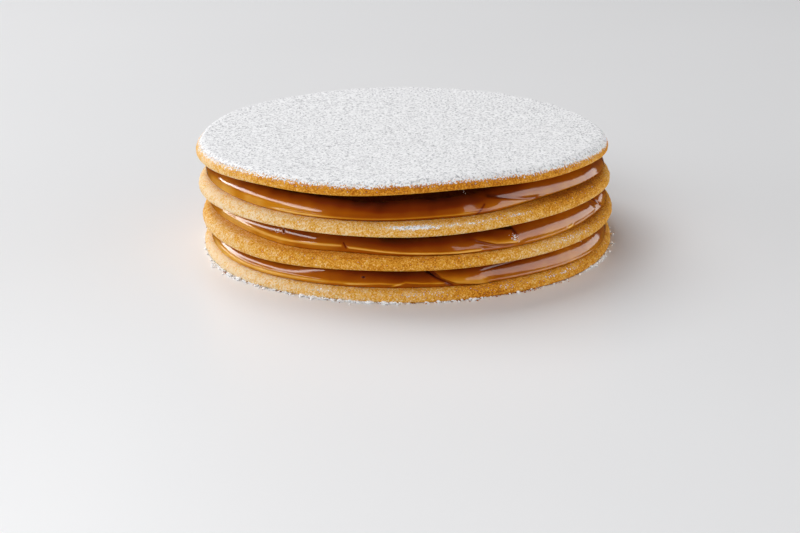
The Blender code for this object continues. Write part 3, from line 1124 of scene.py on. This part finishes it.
# The size of the caught lumps, how much it varies, and how much of it is sunk into the caramel.
CAUGHT_SIZE = 0.26 * MM
CAUGHT_SIZE_SPREAD = 0.3
CAUGHT_SUNK = 0.6


def make_caught_sugar(sides, material):
    """Little lumps of sugar that stuck to the caramel."""
    chance = np.random.default_rng(CAUGHT_SUGAR_SEED)
    places = []
    for catch in CATCHES:
        azimuths = chance.normal(catch.azimuth, catch.width, catch.count)
        levels = np.clip(chance.normal(catch.level, catch.rise, catch.count), 0.0, 1.0)
        rows = np.round(levels * (FILLING_ROWS - 1)).astype(int)
        places.append(sides[catch.node][rows, column_at(azimuths)])
    places = np.concatenate(places)
    sizes = CAUGHT_SIZE * chance.lognormal(0.0, CAUGHT_SIZE_SPREAD, len(places))
    places[:, 2] -= CAUGHT_SUNK * sizes
    finish_piece(mesh_object("caught_sugar", *lumps(places, sizes, chance)), [], material)


# ---------------------------------------------------------------- stage

FLOOR_SIZE = 6.0

# The camera looks at its target from a distance, with a lens in millimetres.
CAMERA_LENS = 100.0
CAMERA_ELEVATION = 19.175
CAMERA_ROLL = -0.69
CAMERA_DISTANCE = 1.2008
CAMERA_TARGET = Vector((-0.0030, -0.0111, -0.0151))


class Lamp(NamedTuple):
    """A soft rectangular lamp that faces the cake from an azimuth and an elevation.

    A spread under 180 degrees dims it where it is seen aslant. A lamp that doesn't gleam lights the
    cake without a reflection.
    """

    name: str
    azimuth: float
    elevation: float
    distance: float
    width: float
    height: float
    power: float
    spread: float = 180.0
    gleams: bool = True


# Long lamps on the left and on the right, whose reflections run along the fillings, and soft light
# from behind and in front.
LAMPS = (
    Lamp("key_left", -89.0, 16.0, distance=1.5, width=2.7, height=0.155, power=9.3),
    Lamp("panel_right", 82.0, 11.5, distance=1.3, width=3.85, height=0.5, power=12.0, spread=156.0),
    Lamp("overhead", -145.0, 52.0, distance=2.4, width=1.8, height=1.8, power=42.0),
    Lamp("front_fill", -28.0, 41.0, distance=2.0, width=1.6, height=1.0, power=18.6, gleams=False),
)
SKY_COLOUR = (0.90, 0.94, 1.0, 1.0)
SKY_STRENGTH = 0.03
FLOOR_SHADES = ((0.86, 0.86, 0.87), (0.88, 0.88, 0.89))


def make_floor():
    """A plain pale floor under the cake."""
    mesh = bpy.data.meshes.new("floor")
    half = FLOOR_SIZE / 2.0
    corners = [(-half, -half, 0.0), (half, -half, 0.0), (half, half, 0.0), (-half, half, 0.0)]
    mesh.from_pydata(corners, [], [(0, 1, 2, 3)])
    floor = bpy.data.objects.new("floor", mesh)
    bpy.context.scene.collection.objects.link(floor)
    shading = Shading("pale_floor")
    tint = shading.spread(shading.noise(0.4, 2.0), 0.3, 0.7)
    shading.join(shading.mix(tint, *FLOOR_SHADES), shading.shader.inputs["Base Color"])
    shading.settle({"Roughness": 0.35, "Specular IOR Level": 0.3})
    mesh.materials.append(shading.material)
    floor.visible_glossy = False


def make_camera():
    """A long lens a little above the table, in front of the cake."""
    data = bpy.data.cameras.new("camera")
    data.lens = CAMERA_LENS
    camera = bpy.data.objects.new("camera", data)
    bpy.context.scene.collection.objects.link(camera)
    tilt = Matrix.Rotation(math.radians(90.0 - CAMERA_ELEVATION), 4, "X")
    roll = Matrix.Rotation(math.radians(CAMERA_ROLL), 4, "Z")
    away = tilt @ Vector((0.0, 0.0, CAMERA_DISTANCE))
    camera.matrix_world = Matrix.Translation(CAMERA_TARGET + away) @ tilt @ roll
    bpy.context.scene.camera = camera


def make_lamp(lamp):
    """A lamp in its place, turned towards the middle of the cake."""
    data = bpy.data.lights.new(lamp.name, "AREA")
    data.shape = "RECTANGLE"
    data.size = lamp.width
    data.size_y = lamp.height
    data.energy = lamp.power
    data.spread = math.radians(lamp.spread)
    light = bpy.data.objects.new(lamp.name, data)
    turn = math.radians(lamp.azimuth)
    rise = math.radians(lamp.elevation)
    way = Vector((math.sin(turn) * math.cos(rise), -math.cos(turn) * math.cos(rise), math.sin(rise)))
    light.location = way * lamp.distance
    light.rotation_euler = way.to_track_quat("Z", "Y").to_euler()
    light.visible_glossy = lamp.gleams
    bpy.context.scene.collection.objects.link(light)


def make_light():
    """The lamps, and a faint cool sky."""
    for lamp in LAMPS:
        make_lamp(lamp)
    world = bpy.data.worlds.new("studio")
    world.use_nodes = True
    background = world.node_tree.nodes["Background"]
    background.inputs["Color"].default_value = SKY_COLOUR
    background.inputs["Strength"].default_value = SKY_STRENGTH
    bpy.context.scene.world = world
    bpy.context.scene.view_settings.view_transform = "Standard"


# ---------------------------------------------------------------- the cake

BISCUIT_NODES = ("biscuit_base", "biscuit_lower", "biscuit_upper", "biscuit_top")
FILLING_NODES = ("dulce_lower", "dulce_middle", "dulce_upper")


def make_cake():
    """Every layer, from the plate up, and then the loose sugar and crumbs."""
    crumb = biscuit_material()
    caramel = dulce_material()
    clump = clump_material()
    rims = []
    for index, node in enumerate(BISCUIT_NODES):
        rims.append(make_biscuit(node, crumb, BISCUIT_SEED + LAYER_SEED_STEP * index))
    sides = {}
    for index, node in enumerate(FILLING_NODES):
        seed = FILLING_SEED + LAYER_SEED_STEP * index
        sides[node] = make_filling(node, rims[index], rims[index + 1], caramel, seed)
    make_sugar(rims[-1], sugar_material())
    make_caught_sugar(sides, clump)
    make_fallen(rims[0], clump, crumb)


make_cake()
make_floor()
make_camera()
make_light()
